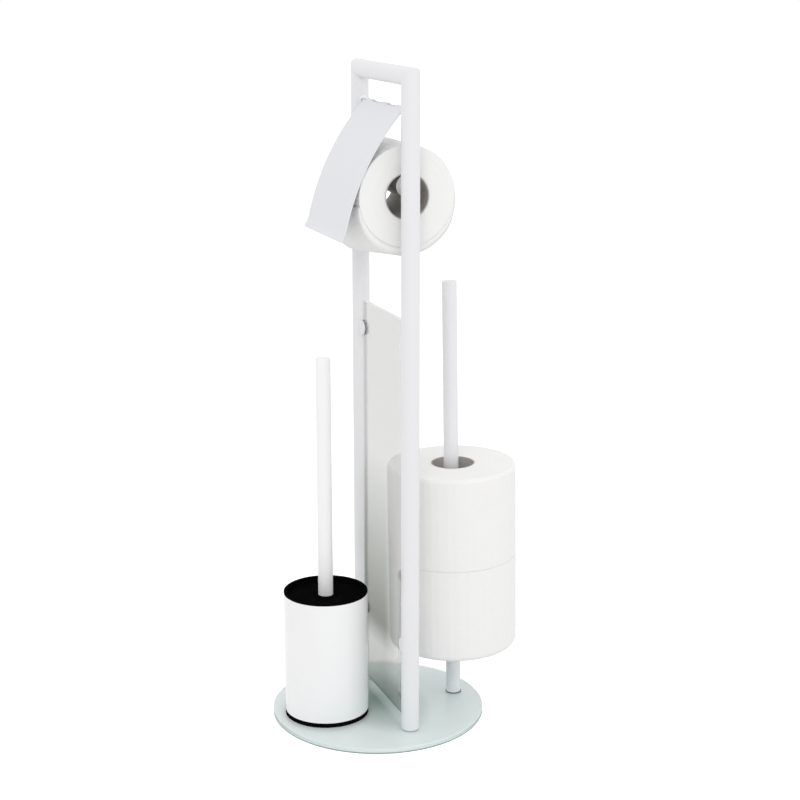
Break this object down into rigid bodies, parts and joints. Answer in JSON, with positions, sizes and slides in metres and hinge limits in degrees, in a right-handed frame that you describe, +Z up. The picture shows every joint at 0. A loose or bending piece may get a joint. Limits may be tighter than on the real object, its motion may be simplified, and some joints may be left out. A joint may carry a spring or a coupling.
{
  "type": "toilet roll storage holder",
  "caption": "Free-standing toilet butler: round glass foot, tube frame with glass panel, covered paper roll on a sprung roller, rod with spare rolls and a lidded brush holder.",
  "frame": {"origin": "centre of the round glass foot, on the floor under its middle pad", "axes": "+X along the frame and the roller, +Y towards the spare rolls, away from the cover and the brush, +Z up"},
  "size_m": [0.23, 0.2744, 0.704],
  "materials": {
    "white_tube": "satin white powder coat",
    "frosted_glass": "clear green-white glass, polished edge",
    "clear_glass": "clear, polished edge",
    "clear_rubber": "clear soft plastic",
    "black_rubber": "matt black",
    "steel": "zinc plated",
    "spring_steel": "drawn wire",
    "white_plastic": "gloss white",
    "black_plastic": "satin black",
    "cover_sheet": "satin grey-white coat",
    "roller_metal": "polished",
    "tissue": "soft embossed tissue",
    "core_card": "grey board",
    "white_sleeve": "gloss white coat",
    "white_handle": "satin white coat",
    "bristle": "white nylon"
  },
  "bodies": {
    "root": {"base_plate": "frosted_glass", "base_pads": "clear_rubber", "post_left": "white_tube", "post_right": "white_tube", "top_bar": "white_tube", "post_inserts": "steel", "post_gaskets": "clear_rubber", "base_washers": "steel", "base_screws": "steel", "glass_panel": "clear_glass", "panel_clips": "white_tube", "clip_liners": "clear_rubber", "clip_studs": "steel", "roller_sockets": "white_plastic", "hinge_bushes": "white_plastic", "spare_rod": "white_tube", "rod_cap": "white_tube", "rod_insert": "steel", "rod_gasket": "black_rubber", "stop_collar": "white_tube", "collar_screw": "steel"},
    "cover": {"cover_plate": "cover_sheet", "hinge_rod": "steel"},
    "roller": {"roller_outer": "roller_metal", "roller_spring": "spring_steel"},
    "plunger": {"roller_inner": "roller_metal"},
    "roll": {"paper_roll": "tissue", "roll_core": "core_card"},
    "spare_lower": {"spare_roll_lower": "tissue", "spare_core_lower": "core_card"},
    "spare_upper": {"spare_roll_upper": "tissue", "spare_core_upper": "core_card"},
    "holder": {"holder_sleeve": "white_sleeve", "holder_foot": "black_plastic", "holder_liner": "black_plastic"},
    "brush": {"brush_handle": "white_handle", "handle_cap": "white_handle", "handle_plug": "black_plastic", "brush_lid": "black_plastic", "lid_collar": "black_plastic", "brush_shaft": "steel", "brush_core": "black_plastic", "brush_bristles": "bristle"}
  },
  "joints": [
    {"name": "cover_hinge", "type": "hinge", "parent": "root", "child": "cover", "pos_m": [0, 0.0095, 0.662], "axis": [-1, 0, 0], "range_deg": [0, 114]},
    {"name": "roll_spin", "type": "hinge", "parent": "root", "child": "roll", "pos_m": [0.009, 0.0115, 0.57658], "axis": [1, 0, 0], "continuous": true},
    {"name": "roller_spin", "type": "hinge", "parent": "root", "child": "roller", "pos_m": [0, 0.0095, 0.5875], "axis": [1, 0, 0], "continuous": true},
    {"name": "roller_plunge", "type": "slide", "parent": "roller", "child": "plunger", "axis": [1, 0, 0], "range_m": [0, 0.0065], "stiffness_N_per_m": 400, "springref_m": -0.004, "deforming": ["roller_spring"]},
    {"name": "spare_lower_lift", "type": "slide", "parent": "root", "child": "spare_lower", "axis": [0, -0.0175, 0.9998], "range_m": [0, 0.1]},
    {"name": "spare_upper_lift", "type": "slide", "parent": "spare_lower", "child": "spare_upper", "axis": [0, -0.0175, 0.9998], "range_m": [0, 0.136]},
    {"name": "holder_lift", "type": "slide", "parent": "root", "child": "holder", "axis": [0, 0, 1], "range_m": [0, 0.1]},
    {"name": "brush_lift", "type": "slide", "parent": "holder", "child": "brush", "axis": [0, 0, 1], "range_m": [0, 0.124]}
  ],
  "couplings": [
    {"joint": "roller_spin", "follows": "roll_spin", "ratio": 2.0455}
  ]
}
